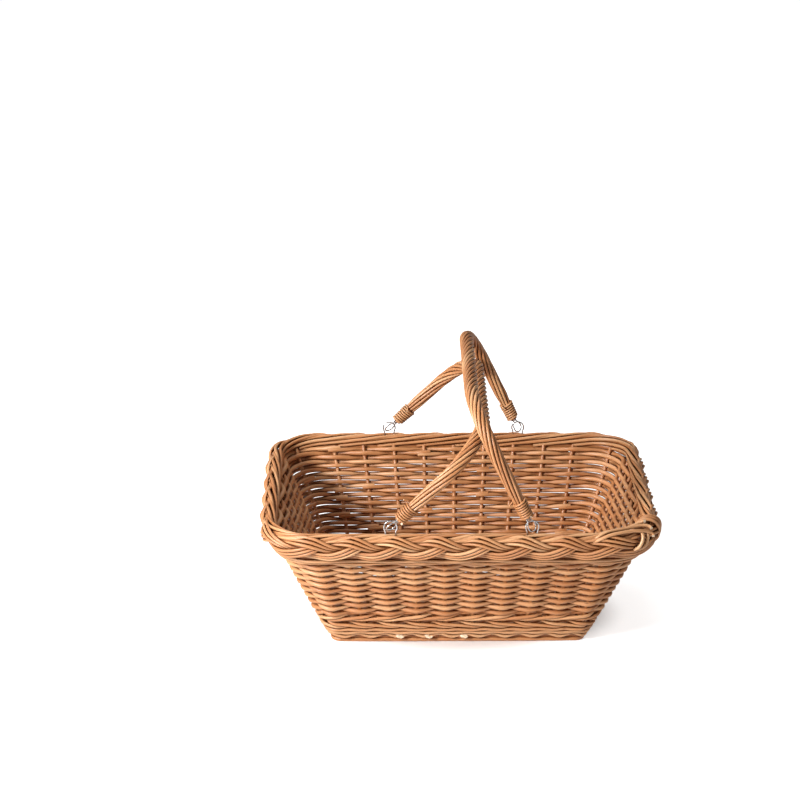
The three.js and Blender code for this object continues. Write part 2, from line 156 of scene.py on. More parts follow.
# Willow rod: a tone of its own, long grain, darker streaks, bud marks, a pale cut end, and painted
# shade in the nooks between rods
willowLook = {
    "toneStops": (
        (0.0, (0.46, 0.175, 0.058)), (0.5, (0.62, 0.275, 0.108)), (1.0, (0.78, 0.44, 0.215))),
    "toneShifts": {"weaver": 0.0, "stake": -0.16, "buff": 0.04},
    "mottle": 0.55,  # how much the tone changes along a rod
    "mottleMean": 0.27,
    "mottleNoise": ((0.12, 0.12, 0.028), 3.0),  # scale, detail and, where given, roughness
    "streak": (0.30, 0.10, 0.03, 1),
    "streakShare": 0.55,
    "clearStops": ((0.30, (0, 0, 0)), (0.46, (1, 1, 1))),  # grain between the streaks
    "grainNoise": ((1.6, 1.6, 0.05), 5.0, 0.62),
    "bud": (0.20, 0.062, 0.022, 1),
    "budShare": 0.7,
    "budStops": ((0.06, (1, 1, 1)), (0.12, (0, 0, 0))),  # distance from a bud's middle
    "budScales": ((0.30, 0.30, 0.075), 0.55),
    "budHeight": 1.4,  # against the grain's height
    "cutStops": ((0.3, (0.55, 0.33, 0.16)), (0.6, (0.93, 0.74, 0.54))),
    "cutNoise": ((0.9, 0.9, 0.9), 4.0),
    "nook": (0.10, 0.019, 0.0035, 1),  # painted shade between the rods
    "nookReach": 0.006,  # metres
    "nookLimits": (0.32, 0.88),  # openness: full painted shade, no painted shade
    "nookShare": 0.95,
    "roughness": (0.28, 0.54),
    "specular": 0.65,
    "bump": 0.35,
    "bumpDepth": 0.0005,  # metres
}


def willowMaterial(name, toneShift):
    look = willowLook
    material, tree, shader = newMaterial(name)
    rodTone = addNode(tree, "Attribute", -1500, 300, attribute_name="rodTone").outputs["Fac"]
    coords = addNode(tree, "Attribute", -1500, -100, attribute_name="rodCoord").outputs["Vector"]
    cutFace = addNode(tree, "Attribute", -1500, -500, attribute_name="cutFace").outputs["Fac"]
    grain = addNoise(tree, -1250, 0, coords, *look["grainNoise"])
    mottle = addNoise(tree, -1250, -300, coords, *look["mottleNoise"])

    mottled = addMath(tree, -780, 250, "MULTIPLY_ADD", mottle, look["mottle"], rodTone)
    shifted = addMath(tree, -620, 250, "ADD", mottled, toneShift - look["mottleMean"])
    tones = addRamp(tree, -450, 250, shifted, look["toneStops"])

    clear = addRamp(tree, -780, 0, grain, look["clearStops"])
    streakShare = addRange(tree, -450, 0, clear, (0, 1), (look["streakShare"], 0))
    streaked = addMix(tree, -180, 200, streakShare, tones, look["streak"])

    stretch, budScale = look["budScales"]
    budInputs = {"Vector": coords, "Scale": stretch}
    budSpace = addNode(tree, "Mapping", -1250, -600, budInputs).outputs["Vector"]
    buds = addNode(tree, "TexVoronoi", -1000, -600, {"Vector": budSpace, "Scale": budScale})
    budMask = addRamp(tree, -780, -600, buds.outputs["Distance"], look["budStops"])
    budShare = addMath(tree, -450, -500, "MULTIPLY", budMask, look["budShare"])
    budded = addMix(tree, 0, 100, budShare, streaked, look["bud"])

    # Ambient occlusion darkens the nooks between rods to the nook colour, which is painted shade,
    # and takes the specular away there too
    nook = addNode(tree, "AmbientOcclusion", -450, 550, {"Distance": look["nookReach"]},
                   samples=6, only_local=True).outputs["AO"]
    nookShare = addRange(tree, -250, 550, nook, look["nookLimits"], (look["nookShare"], 0))
    nookShaded = addMix(tree, 100, 350, nookShare, budded, look["nook"])

    pith = addNoise(tree, -700, -750, coords, *look["cutNoise"])
    pithTones = addRamp(tree, -250, -750, pith, look["cutStops"])
    faced = addMix(tree, 180, 0, cutFace, nookShaded, pithTones)

    gloss = addRange(tree, 0, -250, grain, (0, 1), look["roughness"])
    shine = addRange(tree, 180, 550, nookShare, (0, look["nookShare"]), (look["specular"], 0))
    heights = addMath(tree, 0, -450, "MULTIPLY_ADD", budMask, look["budHeight"], grain)
    bump = addBump(tree, 180, -400, look, heights)
    setInputs(tree, shader, {
        "Base Color": faced, "Roughness": gloss, "Normal": bump, "Specular IOR Level": shine})
    shader.location = (420, 0)
    tree.nodes["Material Output"].location = (720, 0)
    return material


# Bright drawn wire with fine lines and a little tarnish
wireLook = {
    "toneStops": ((0.32, (0.50, 0.49, 0.48)), (0.55, (0.80, 0.80, 0.81))),
    "lineNoise": ((6, 6, 0.25), 4.0),
    "tarnishNoise": ((0.35, 0.35, 0.35), 3.0),
    "roughness": (0.16, 0.36),
    "bump": 0.15,
    "bumpDepth": 0.0002,  # metres
}


def wireMaterial(name):
    look = wireLook
    material, tree, shader = newMaterial(name)
    coords = addNode(tree, "Attribute", -900, 0, attribute_name="rodCoord").outputs["Vector"]
    lines = addNoise(tree, -700, 0, coords, *look["lineNoise"])
    tarnish = addNoise(tree, -700, -250, coords, *look["tarnishNoise"])
    tones = addRamp(tree, -250, 100, tarnish, look["toneStops"])
    gloss = addRange(tree, -250, -150, lines, (0, 1), look["roughness"])
    bump = addBump(tree, -100, -350, look, lines)
    setInputs(tree, shader, {
        "Metallic": 1.0, "Base Color": tones, "Roughness": gloss, "Normal": bump})
    return material


finishes = {}
for use, toneShift in willowLook["toneShifts"].items():
    finishes[use] = (willowMaterial(f"{use}Willow", toneShift), f"{use}_willow")
finishes["wire"] = (wireMaterial("brightWire"), "wire")
print("materials made")


# What all rods share
rodValues = {
    "sides": 8,
    "tones": (0.15, 0.85),  # from 0, dark, to 1, light
    "grainLength": 4000,  # a rod's grain starts anywhere along this
    "smoothAngle": 62,  # degrees
    "cutRise": 0.3,  # a slanted cut faces outwards and this much up
}


# One rod: its path, radii, tone and whether it is a ring. The taper is the radius's end shares
def rodOf(points, radius, taper=(1.0, 1.0), tone=None, cyclic=False):
    start, end = taper
    last = len(points) - 1
    return {
        "points": points,
        "radii": [radius * (start + (end - start) * i / last) for i in range(last + 1)],
        "tone": seed.uniform(*rodValues["tones"]) if tone is None else tone,
        "cyclic": cyclic,
    }


# One rod with a thickness drawn from the range in its piece's values
def anyRod(points, values):
    radius = values["rodDiameter"] / 2 * seed.uniform(*values["thickness"])
    return rodOf(points, radius, values["taper"])


# The rods as tubes in one mesh object, which is left selected and active
def makeTubes(name, rods, sides):
    bpy.ops.object.select_all(action="DESELECT")
    curve = bpy.data.curves.new(name, "CURVE")
    curve.dimensions = "3D"
    curve.bevel_depth = mm
    curve.bevel_resolution = (sides - 4) // 2
    for rod in rods:
        spline = curve.splines.new("POLY")
        spline.points.add(len(rod["points"]) - 1)
        for point, place, radius in zip(spline.points, rod["points"], rod["radii"]):
            point.co = (place.x * mm, place.y * mm, place.z * mm, 1)
            point.radius = radius
        spline.use_cyclic_u = rod["cyclic"]
    tubes = bpy.data.objects.new(name, curve)
    bpy.context.scene.collection.objects.link(tubes)
    tubes.select_set(True)
    objects = bpy.context.view_layer.objects
    objects.active = tubes
    bpy.ops.object.convert(target="MESH")
    return objects.active


# Each vertex's tone, and its place in its rod's own coordinates
def addRodAttributes(mesh, rods, sides):
    tones, coords = [], []
    for rod in rods:
        walked = seed.uniform(0, rodValues["grainLength"])
        before = rod["points"][0]
        for place, radius in zip(rod["points"], rod["radii"]):
            walked += (place - before).length
            before = place
            for k in range(sides):
                angle = k / sides * tau
                coords += [radius * cos(angle), radius * sin(angle), walked]
                tones.append(rod["tone"])
    mesh.attributes.new("rodTone", "FLOAT", "POINT").data.foreach_set("value", tones)
    mesh.attributes.new("rodCoord", "FLOAT_VECTOR", "POINT").data.foreach_set("vector", coords)


# Cuts both ends of a mesh's only rod to face the front and the back
def slantEnds(mesh, points, sides):
    lastRing = len(mesh.vertices) - sides
    for first, end, inner in ((0, points[0], points[1]), (lastRing, points[-1], points[-2])):
        way = (end - inner).normalized()
        facing = Vector((0, copysign(1, way.y), rodValues["cutRise"])).normalized()
        for vertex in mesh.vertices[first:first + sides]:
            vertex.co -= way * ((vertex.co - end * mm).dot(facing) / way.dot(facing))


# One piece of the basket, made of rods with closed ends
def layRods(name, rods, finish, body, replaced, sides=rodValues["sides"], slanted=False):
    piece = makeTubes(name, rods, sides)
    mesh = piece.data
    addRodAttributes(mesh, rods, sides)
    if slanted:
        slantEnds(mesh, rods[0]["points"], sides)
    bpy.ops.object.mode_set(mode="EDIT")
    bpy.ops.mesh.select_all(action="SELECT")
    bpy.ops.mesh.fill_holes(sides=0)
    bpy.ops.object.mode_set(mode="OBJECT")
    bpy.ops.object.shade_smooth_by_angle(angle=radians(rodValues["smoothAngle"]))
    cut = mesh.attributes.new("cutFace", "FLOAT", "FACE")
    cut.data.foreach_set("value", [float(len(face.vertices) > 4) for face in mesh.polygons])
    while mesh.uv_layers:
        mesh.uv_layers.remove(mesh.uv_layers[0])
    material, slotName = finishes[finish]
    mesh.materials.append(material)
    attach(piece, body)
    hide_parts(*replaced)


# Walls: the wall's middle on the ground, and the middle of the rolled border
wallValues = {
    "foot": (137.0, 74.0, 7.0),  # half length, half width, corner radius
    "roll": (199.57, 141.07, 41.57),
    "rollHeight": 144.57,
    "stakes": 33,
    "stickSpacing": 30.0,  # of the base sticks, which the foot rods follow
}
footOutline = wallValues["foot"]
rollOutline = wallValues["roll"]
rollHeight = wallValues["rollHeight"]
stakeCount = wallValues["stakes"]


# Lengths of an outline's parts, from the middle of the back all the way round
def stretches(outline):
    halfLength, halfWidth, radius = outline
    longSide = (halfLength - radius) * 2
    shortSide = (halfWidth - radius) * 2
    corner = radius * pi / 2
    between = [corner, shortSide, corner]
    return [longSide / 2, *between, longSide, *between, longSide / 2]


wallLengths = stretches([(a + b) / 2 for a, b in zip(footOutline, rollOutline)])
rollLengths = stretches(rollOutline)


def cornerCentre(corner, outline):
    angle = (corner + 1.5) * pi / 2
    x = copysign(outline[0] - outline[2], cos(angle))
    y = copysign(outline[1] - outline[2], sin(angle))
    return Vector((x, y, 0))


# Place and outward direction, walked from the middle of the back to the left, front and right
def outlineAt(share, outline, lengths):
    left = (share % 1.0) * sum(lengths)
    piece = 0
    while piece < len(lengths) - 1 and left > lengths[piece]:
        left -= lengths[piece]
        piece += 1
    along = left / lengths[piece]
    side = piece // 2
    facing = (1 + side) * pi / 2
    centre = cornerCentre(side, outline)
    if piece % 2 == 1:
        facing += along * pi / 2
    else:
        start = cornerCentre(side - 1, outline)
        middle = (start + centre) / 2
        begin = middle if side == 0 else start
        end = middle if side == 4 else centre
        centre = begin.lerp(end, along)
    outward = Vector((cos(facing), sin(facing), 0))
    return centre + outward * outline[2], outward


# Place on the wall: share of the way round, height, distance outwards from its middle
def wallPoint(share, height, offset=0.0):
    foot, outward = outlineAt(share, footOutline, wallLengths)
    head, _ = outlineAt(share, rollOutline, wallLengths)
    rise = head - foot
    rise.z = rollHeight
    normal = zAxis.cross(outward).cross(rise).normalized()
    return foot + rise * (height / rollHeight) + normal * offset


# Where in the noise a rod lies: along it, by the drift's size, and one layer for all
noisePitch, noiseStep, noiseLayer = 0.02, 7.3, 1.7


# Slow noise along a rod. A drift is its size, its pitch and how far on the next rod's noise starts
def wander(place, number, drift):
    size, pitch, start = drift
    along = (place * pitch + number * start) * noisePitch
    return noise.noise(Vector((along, size * noiseStep, noiseLayer))) * size


# Noise that meets its own start after one turn round the basket
def ringNoise(share, reach, layer):
    turn = share * tau
    return noise.noise(Vector((cos(turn) * reach, sin(turn) * reach, layer)))


# Stakes: each comes out of the edge of the base and rises through the weave into the border
stakeValues = {
    "diameter": 4.7,
    "thickness": (0.96, 1.03),  # least and most share of the diameter at the foot
    "tip": 0.88,
    "foot": ((15, 2.4), (7, 2.2), (2.2, 0.9)),  # inwards and down from the bend
    "bendHeight": 15.5,
    "heights": (18, 149),
    "steps": 13,
    "wander": (0.0009, 1, 91),  # its size is a share of the way round
}


def makeStakes(values):
    radius = values["diameter"] / 2
    low, high = values["heights"]
    for i in range(stakeCount):
        share = i / stakeCount
        _, outward = outlineAt(share, footOutline, wallLengths)
        bend = wallPoint(share, values["bendHeight"])
        points = []
        for inwards, down in values["foot"]:
            points.append(bend - outward * inwards - zAxis * down)
        for step in range(values["steps"] + 1):
            height = low + (high - low) * step / values["steps"]
            points.append(wallPoint(share + wander(height, i, values["wander"]), height))
        rod = rodOf(points, radius, (seed.uniform(*values["thickness"]), values["tip"]))
        node = f"stake_{i + 1:02d}"
        layRods(f"willow_{node}", [rod], "stake", "basket", [node])


makeStakes(stakeValues)
print("stakes set")


# Side weave: rods in front of one stake and behind the next, rising one row for each turn
sideValues = {
    "firstHeight": 43.4,
    "rowPitch": 4.4,
    "rows": 23.6,
    "rodDiameter": 5.5,
    "thickness": (0.94, 1.04),
    "taper": (1.0, 0.93),
    "spans": (12, 14, 16, 18, 20),  # stakes that one rod may pass
    "overlap": 0.2,  # share of a span between stakes
    "tuck": 1.1,  # first ends lie this much above their row, last ends below
    "tuckLength": 0.9,
    "swing": 4.6,
    "swingShares": (0.97, 1.03),
    "bend": 0.8,  # share of a sharp bend at each stake, against an even wave
    "steps": 8,  # points between two stakes
    "wander": (0.7, 40, 53),
}


def bentWave(place, bend):
    turned = place % 2.0
    sharp = 1 - 2 * turned if turned < 1 else 2 * turned - 3
    return bend * sharp + (1 - bend) * cos(pi * turned)


def makeSideWeave(values):
    rods = []
    end = int(values["rows"] * stakeCount)
    start = 1
    while start < end:
        stop = min(start + seed.choice(values["spans"]), end)
        radius = values["rodDiameter"] / 2 * seed.uniform(*values["thickness"])
        swing = values["swing"] * seed.uniform(*values["swingShares"])
        first, last = start - values["overlap"], stop + values["overlap"]
        steps = round((last - first) * values["steps"])
        points = []
        for i in range(steps + 1):
            place = first + (last - first) * i / steps
            height = values["firstHeight"] + place / stakeCount * values["rowPitch"]
            height += wander(place, start, values["wander"])
            above = max(0.0, 1 - (place - first) / values["tuckLength"])
            below = max(0.0, 1 - (last - place) / values["tuckLength"])
            height += (above - below) * values["tuck"]
            offset = -swing * bentWave(place - start, values["bend"])
            points.append(wallPoint(place / stakeCount, height, offset))
        rods.append(rodOf(points, radius, values["taper"]))
        start = stop
    layRods("side_weaving", rods, "weaver", "basket", ["side_weave"])


makeSideWeave(sideValues)
print("side woven")


# Bottom wale: three rods at a time, each in front of two stakes and behind one
waleValues = {
    "rounds": ((27.6, 1), (38.4, -1)),  # height of the middle, way of the slope
    "roundShift": 11,  # stakes between the starts of the two rounds
    "rodDiameter": 3.9,
    "taper": (1.03, 0.94),
    "swing": 4.3,
    "rowShare": 0.97,  # row pitch over the rod's diameter
    "steps": 5,  # points between two stakes
    "wander": (0.7, 30, 1),
    "wanderStarts": (311, 97),  # for each next rod and round
}


def waleOffset(place):
    if place < 1:
        return -cos(pi * place)
    if place < 2:
        return 1.0
    return cos(pi * (place - 2))


# A rod sinks across the two stakes that it passes outside and climbs back behind the third
def waleLift(place):
    if place < 0.5:
        return place * 2
    if place > 2.5:
        return (place - 3) * 2
    return 1.5 - place


def waleRods(values):
    rowPitch = values["rodDiameter"] * values["rowShare"]
    rodStart, roundStart = values["wanderStarts"]
    for number, (middle, slope) in enumerate(values["rounds"]):
        for j in range(3):
            points = []
            for i in range(-1, stakeCount * values["steps"] + 2):
                walked = i / values["steps"]
                place = walked % 3
                height = middle + slope * waleLift(place) * rowPitch
                height += wander(walked, j * rodStart + number * roundStart, values["wander"])
                share = (walked + j + number * values["roundShift"]) / stakeCount
                points.append(wallPoint(share, height, waleOffset(place) * values["swing"]))
            yield rodOf(points, values["rodDiameter"] / 2, values["taper"])


# Foot: rods laid round the bottom of the wall, the lowest one flat on the ground
footValues = {
    "rods": (  # outward, height, radius, wave over the base sticks' ends
        (2.1, 2.9, 2.8, 0.1),
        (-3.4, 2.5, 2.4, 0.1),
        (3.4, 10.4, 2.35, 2.0),
        (4.3, 14.9, 2.3, 0.7),
        (4.3, 19.0, 2.2, -0.5),
        (-4.3, 17.0, 2.3, 0.5),
    ),
    "steps": 8,  # points between two stakes
    "noiseReach": 4,
    "drift": 0.6,
    "driftUp": 0.4,  # share of the drift that is also a change of height
    "lowest": 1.02,  # height of the lowest middle over the rod's radius
    # Dark rods inside the wall close the gaps behind the rows, and their dark tone is painted shade
    # in those gaps: outward, height, radius
    "shadedGapRods": ((-0.6, 7.0, 2.7), (0.0, 22.6, 2.4), (0.0, 33.0, 2.3), (0.0, 42.4, 2.0)),
    "shadedGapSteps": 4,
}


def footRods(values):
    steps = stakeCount * values["steps"]
    for number, (outward, height, radius, wave) in enumerate(values["rods"]):
        points = []
        for i in range(steps):
            share = i / steps
            drift = ringNoise(share, values["noiseReach"], number) * values["drift"]
            place = wallPoint(share, height, outward + drift)
            along = (place.x + place.y + footOutline[1]) / wallValues["stickSpacing"]
            rise = wave * cos(along * tau) + drift * values["driftUp"]
            place.z = max(height + rise, radius * values["lowest"])
            points.append(place)
        yield rodOf(points, radius, cyclic=True)
    shadedGapSteps = stakeCount * values["shadedGapSteps"]
    for outward, height, radius in values["shadedGapRods"]:
        points = [wallPoint(i / shadedGapSteps, height, outward) for i in range(shadedGapSteps)]
        # Tone 0, the darkest, is painted shade in the gaps behind the rows
        yield rodOf(points, radius, tone=0.0, cyclic=True)


rods = [*waleRods(waleValues), *footRods(footValues)]
layRods("wale_and_foot", rods, "weaver", "basket", ["bottom_wale"])
print("bottom waled")


# Base: cross sticks with thin rods woven to and fro
baseValues = {
    "sticks": 9,
    "stickDiameter": 6.0,
    "stickThickness": (0.93, 1.0),
    "stickReach": 75.5,
    "stickHeight": 7.02,
    "stickSteps": 16,
    "stickWanders": ((0.8, 1, 170), (0.3, 1, 70)),  # sideways and up
    "longSticks": (2, 3, 4),  # their ends show past the foot rods
    "longEnd": ((-5.0, -76.5, 0.6), (-3.6, -80.6, 1.9), (1.6, -84.2, 2.2)),  # sideways, out, up
    "endShifts": (-6.8, -4.8, 4.6),
    "endRadius": 2.6,
    "rows": 31,
    "rowPitch": 4.5,
    "rowInset": 2,  # from the wall's middle
    "rowLift": 0.4,
    "rowSteps": 54,
    "edgeFade": 14,  # length over which a row's waves end
    "rodDiameter": 4.0,
    "thickness": (0.94, 1.05),
    "taper": (1.0, 0.9),
    "rodSides": 6,
    "wander": (0.5, 1, 57),
}


def makeSticks(values):
    radius = values["stickDiameter"] / 2
    reach, height = values["stickReach"], values["stickHeight"]
    sideways, upward = values["stickWanders"]
    for i in range(values["sticks"]):
        x = (i - (values["sticks"] - 1) / 2) * wallValues["stickSpacing"]
        points = []
        for step in range(values["stickSteps"] + 1):
            y = -reach + 2 * reach * step / values["stickSteps"]
            across, rise = wander(y, i, sideways), wander(y, i, upward)
            points.append(Vector((x + across, y, height + rise)))
        longEnds = i in values["longSticks"]
        if longEnds:
            middle = Vector((x, 0, height))
            shift = values["endShifts"][values["longSticks"].index(i)]
            front, back = [[middle + Vector((way * (a + shift), way * b, c))
                            for a, b, c in values["longEnd"]] for way in (1, -1)]
            points = front[::-1] + points[1:-1] + back
        taper = [seed.uniform(*values["stickThickness"]) for _ in range(2)]
        rod = rodOf(points, radius, taper)
        if longEnds:
            rod["radii"][0] = rod["radii"][-1] = values["endRadius"]
        node = f"base_stick_{i + 1}"
        layRods(f"willow_{node}", [rod], "stake", "basket", [node], slanted=longEnds)


def makeBaseWeave(values):
    rods = []
    swing = (values["stickDiameter"] + values["rodDiameter"]) / 2
    halfLength, halfWidth, corner = footOutline
    for row in range(values["rows"]):
        y = (row - (values["rows"] - 1) / 2) * values["rowPitch"]
        pastCorner = max(abs(y) - (halfWidth - corner), 0)
        inset = corner - sqrt(max(corner ** 2 - pastCorner ** 2, 0))
        half = halfLength - values["rowInset"] - inset
        points = []
        for step in range(values["rowSteps"] + 1):
            x = -half + 2 * half * step / values["rowSteps"]
            fade = min(1.0, (half - abs(x)) / values["edgeFade"])
            wave = cos(pi * (x / wallValues["stickSpacing"] + row)) * swing * fade
            across = wander(x, row, values["wander"])
            points.append(Vector((x, y + across, values["stickHeight"] + values["rowLift"] + wave)))
        rods.append(anyRod(points, values))
    layRods("base_weaving", rods, "stake", "basket", ["base_weave"], sides=values["rodSides"])


makeSticks(baseValues)
makeBaseWeave(baseValues)
print("base woven")


# Section of the border: a leaning half ellipse, which the plait's strands lie along
sectionValues = {
    "outward": 5.4,  # of its middle, from the roll's line
    "halfThickness": 9.0,
    "halfHeight": 14.4,
    "lean": 0.22,  # outwards for each millimetre up
    "middleFacing": 8.0,  # degrees above level, where the plait's middle lies
    "facings": (-130, 231, 2),  # range of degrees
}


# A table's columns at a place between two of its rows, which its first column gives
def rowAt(table, at):
    low = 0
    while low < len(table) - 2 and table[low + 1][0] < at:
        low += 1
    a, b = table[low], table[low + 1]
    share = (at - a[0]) / (b[0] - a[0])
    return [p + (q - p) * share for p, q in zip(a, b)]


# Rows of arc length from the middle, place outward and up, outward direction and facing
def sectionTable(values):
    table = []
    walked = 0.0
    for degree in range(*values["facings"]):
        facing = radians(degree)
        up = values["halfHeight"] * sin(facing)
        out = values["outward"] + values["halfThickness"] * cos(facing) + values["lean"] * up
        slopeUp = values["halfHeight"] * cos(facing)
        slopeOut = -values["halfThickness"] * sin(facing) + values["lean"] * slopeUp
        length = hypot(slopeUp, slopeOut)
        if table:
            walked += hypot(out - table[-1][1], up - table[-1][2])
        table.append([walked, out, up, slopeUp / length, -slopeOut / length, degree])
    middle = min(table, key=lambda row: abs(row[5] - values["middleFacing"]))[0]
    for row in table:
        row[0] -= middle
    return table


borderSection = sectionTable(sectionValues)


# Place on the border: share of the way round, arc length up the section, depth outwards from it
def borderPoint(share, across, depth):
    _, out, up, normalOut, normalUp, _ = rowAt(borderSection, across)
    place, outward = outlineAt(share, rollOutline, rollLengths)
    height = rollHeight + up + normalUp * depth
    return place + outward * (out + normalOut * depth) + zAxis * height


# Plait of three strands with three rods each, laid round the outside of the border
plaitValues = {
    "strokes": 28,  # crossings in one turn round the rim
    "phase": 92.0,  # degrees
    "spread": 10.2,
    "lift": 2.6,
    "liftShape": 1.6,  # above 1, a strand changes sides more steeply
    "warp": 0.27,  # moves the crossings above the middle
    "rodSpacing": 3.65,
    "rodDiameter": 3.85,
    "thickness": (0.94, 1.03),
    "taper": (1.0, 0.9),
    "steps": 72,  # settled places in one wave of a strand
    "gap": 0.98,  # least distance between two rods, over their diameter
    "push": 0.8,
    "shares": (0.66, 0.16, 0.02),  # of a spot itself, each of its neighbours and its target
    "smoothTurns": 150,
    "lastTurns": 10,
    "seam": 0.375,  # place in a wave where one rod follows another
    "seamStep": 0.02,
    "overlap": 0.04,
    "waveSteps": 32,
}


# Where a rod would lie in the section if rods had no thickness
def plaitTarget(phase, m, values):
    turned = 2 * (phase + values["warp"] * sin(phase))
    lift = max(-1.0, min(1.0, values["liftShape"] * sin(turned)))
    across = values["spread"] * cos(phase) + (m - 1) * values["rodSpacing"]
    return [across, values["lift"] * lift]


def pushApart(p, q, need, share):
    dx, dy = q[0] - p[0], q[1] - p[1]
    gap = hypot(dx, dy) or 1e-6
    if gap < need:
        push = (need - gap) / 2 / gap * share
        p[0] -= dx * push
        p[1] -= dy * push
        q[0] += dx * push
        q[1] += dy * push


def smoothed(row, goals, shares):
    own, beside, aim = shares
    mixed = []
    for before, spot, after, goal in zip(row[-1:] + row, row, row[1:] + row[:1], goals):
        mixed.append([b * own + (a + c) * beside + d * aim
                      for a, b, c, d in zip(before, spot, after, goal)])
    return mixed


# The nine rods of a section are pushed apart until none cuts into another
def settlePlait(values):
    count = values["steps"]
    third = count // 3
    phases = [i / count * tau for i in range(count)]
    targets = [[plaitTarget(phase, m, values) for phase in phases] for m in range(3)]
    spots = [[list(spot) for spot in row] for row in targets]
    need = values["rodDiameter"] * values["gap"]
    for turn in range(values["smoothTurns"] + values["lastTurns"]):
        for i in range(third):
            section = [spots[m][i + strand * third] for m in range(3) for strand in range(3)]
            for p, q in combinations(section, 2):
                pushApart(p, q, need, values["push"])
        if turn < values["smoothTurns"]:
            spots = [smoothed(row, goals, values["shares"]) for row, goals in zip(spots, targets)]
    return spots


plaitSpots = settlePlait(plaitValues)


def plaitPoint(turned, m, values):
    wave = turned * values["strokes"] / 3 + values["phase"] / 360
    steps = values["steps"]
    place = (wave % 1.0) * steps
    low = int(place)
    share = place - low
    before, after = plaitSpots[m][low % steps], plaitSpots[m][(low + 1) % steps]
    across, depth = [before[c] * (1 - share) + after[c] * share for c in (0, 1)]
    return borderPoint(turned, across, depth)


def plaitRods(values):
    waveShare = 3 / values["strokes"]
    length = 1 + 2 * values["overlap"]
    for wave in range(values["strokes"]):
        for m in range(3):
            begin = wave - values["phase"] / 360 + values["seam"] + values["seamStep"] * (m - 1)
            points = []
            for i in range(values["waveSteps"] + 1):
                walked = i / values["waveSteps"] * length - values["overlap"]
                points.append(plaitPoint(begin * waveShare + waveShare * walked, m, values))
            yield anyRod(points, values)


# Bent ends of the stakes: pairs of rods that come up inside and lie along the border's top
topValues = {
    # Strokes walked, arc length up the section, depth
    "marks": ((0.0, 10.0, -3.4), (0.3, 13.0, -1.2), (0.7, 16.2, 0.9), (1.2, 19.4, 1.5),
              (1.7, 22.2, 0.8), (2.3, 24.6, -1.0), (2.9, 26.6, -3.2), (3.4, 29.5, -4.6)),
    "start": 0.45,  # strokes before its own crossing
    "steps": 26,
    "spacing": 3.9,
    "play": 0.35,
    "secondShorter": 0.2,
    "secondShift": 0.1,
    "rodDiameter": 3.9,
    "thickness": (0.93, 1.04),
    "taper": (0.92, 1.03),
}


def topRods(values, strokes):
    for k in range(strokes):
        for pair in (0, 1):
            shift = pair * values["spacing"] + seed.uniform(-values["play"], values["play"])
            reach = values["marks"][-1][0] - pair * values["secondShorter"]
            begin = k - values["start"] + pair * values["secondShift"]
            points = []
            for step in range(values["steps"] + 1):
                walked = reach * step / values["steps"]
                _, across, depth = rowAt(values["marks"], walked)
                points.append(borderPoint((begin + walked) / strokes, across - shift, depth))
            yield anyRod(points, values)


# Rods under the plait, and dark ones inside it that close its gaps, whose dark tone is painted
# shade
ringValues = {
    "under": ((131.2, 9.3, 1.9), (127.5, 8.3, 1.8)),  # height, outward, radius
    "underSteps": 8,  # points between two stakes
    "noiseReach": 5,
    "drift": 0.8,
    "wave": 0.63,
    # Outward, up, radius
    "fillers": ((8.6, 2.0, 3.6), (7.2, 8.5, 3.4), (3.0, -8.6, 3.0), (-0.8, -13.6, 2.6)),
    "fillerSteps": 160,
}


def underRods(values):
    steps = stakeCount * values["underSteps"]
    for height, outward, radius in values["under"]:
        points = []
        for i in range(steps):
            share = i / steps
            drift = ringNoise(share, values["noiseReach"], height) * values["drift"]
            wave = values["wave"] * cos(pi * stakeCount * share + height)
            points.append(wallPoint(share, height + drift, outward + wave))
        yield rodOf(points, radius, cyclic=True)


def fillerRods(values):
    steps = values["fillerSteps"]
    for outward, up, radius in values["fillers"]:
        points = []
        for i in range(steps):
            place, direction = outlineAt(i / steps, rollOutline, rollLengths)
            points.append(place + direction * outward + zAxis * (rollHeight + up))
        # Tone 0, the darkest, is painted shade in the plait's gaps
        yield rodOf(points, radius, tone=0.0, cyclic=True)


# Knot: the plait's last rods, crossed over and tucked in at the front right corner
knotValues = {
    "corner": 0.6477,  # share of the way round
    # Rods in the bundle, tone, step from rod to rod, places passed: along, up the section, depth
    "bundles": (
        (3, 0.62, (4.1, 0.5, 0.0), (
            (0, 33, -2), (7, 27, 4), (13, 21, 7.6), (19, 14, 7), (23, 6, 4.5), (26, -3, 3.0),
            (28, -11, 0.5))),
        (3, 0.8, (0.8, 3.9, 0.0), (
            (-48, 12, -2.5), (-40, 14.5, 2.4), (-28, 17, 5.2), (-14, 17.5, 6), (-3, 15.5, 6.6),
            (2, 13.5, 7.6), (3.5, 12, 8.9), (2.5, 11, 10.4))),
        (2, 1.0, (4.4, -1.0, 0.4), (
            (-9, -4, 1.5), (-7, 0, 5.2), (-5, 4, 6.3), (-3, 9, 6.2), (-1, 13, 3))),
    ),
    "tonePlay": (-0.2, 0.1),
    "rodDiameter": 3.85,
    "taper": (1.02, 0.95),
    "steps": 6,  # points from place to place
}


# Smooth curve through all the places
def smoothPath(places, steps):
    ends = [places[0] * 2 - places[1], *places, places[-1] * 2 - places[-2]]
    path = []
    for a, b, c, d in zip(ends, ends[1:], ends[2:], ends[3:]):
        for i in range(steps):
            t = i / steps
            square, cube = a * 2 - b * 5 + c * 4 - d, b * 3 - a - c * 3 + d
            path.append((b * 2 + (c - a) * t + square * t ** 2 + cube * t ** 3) / 2)
    return path + [places[-1]]


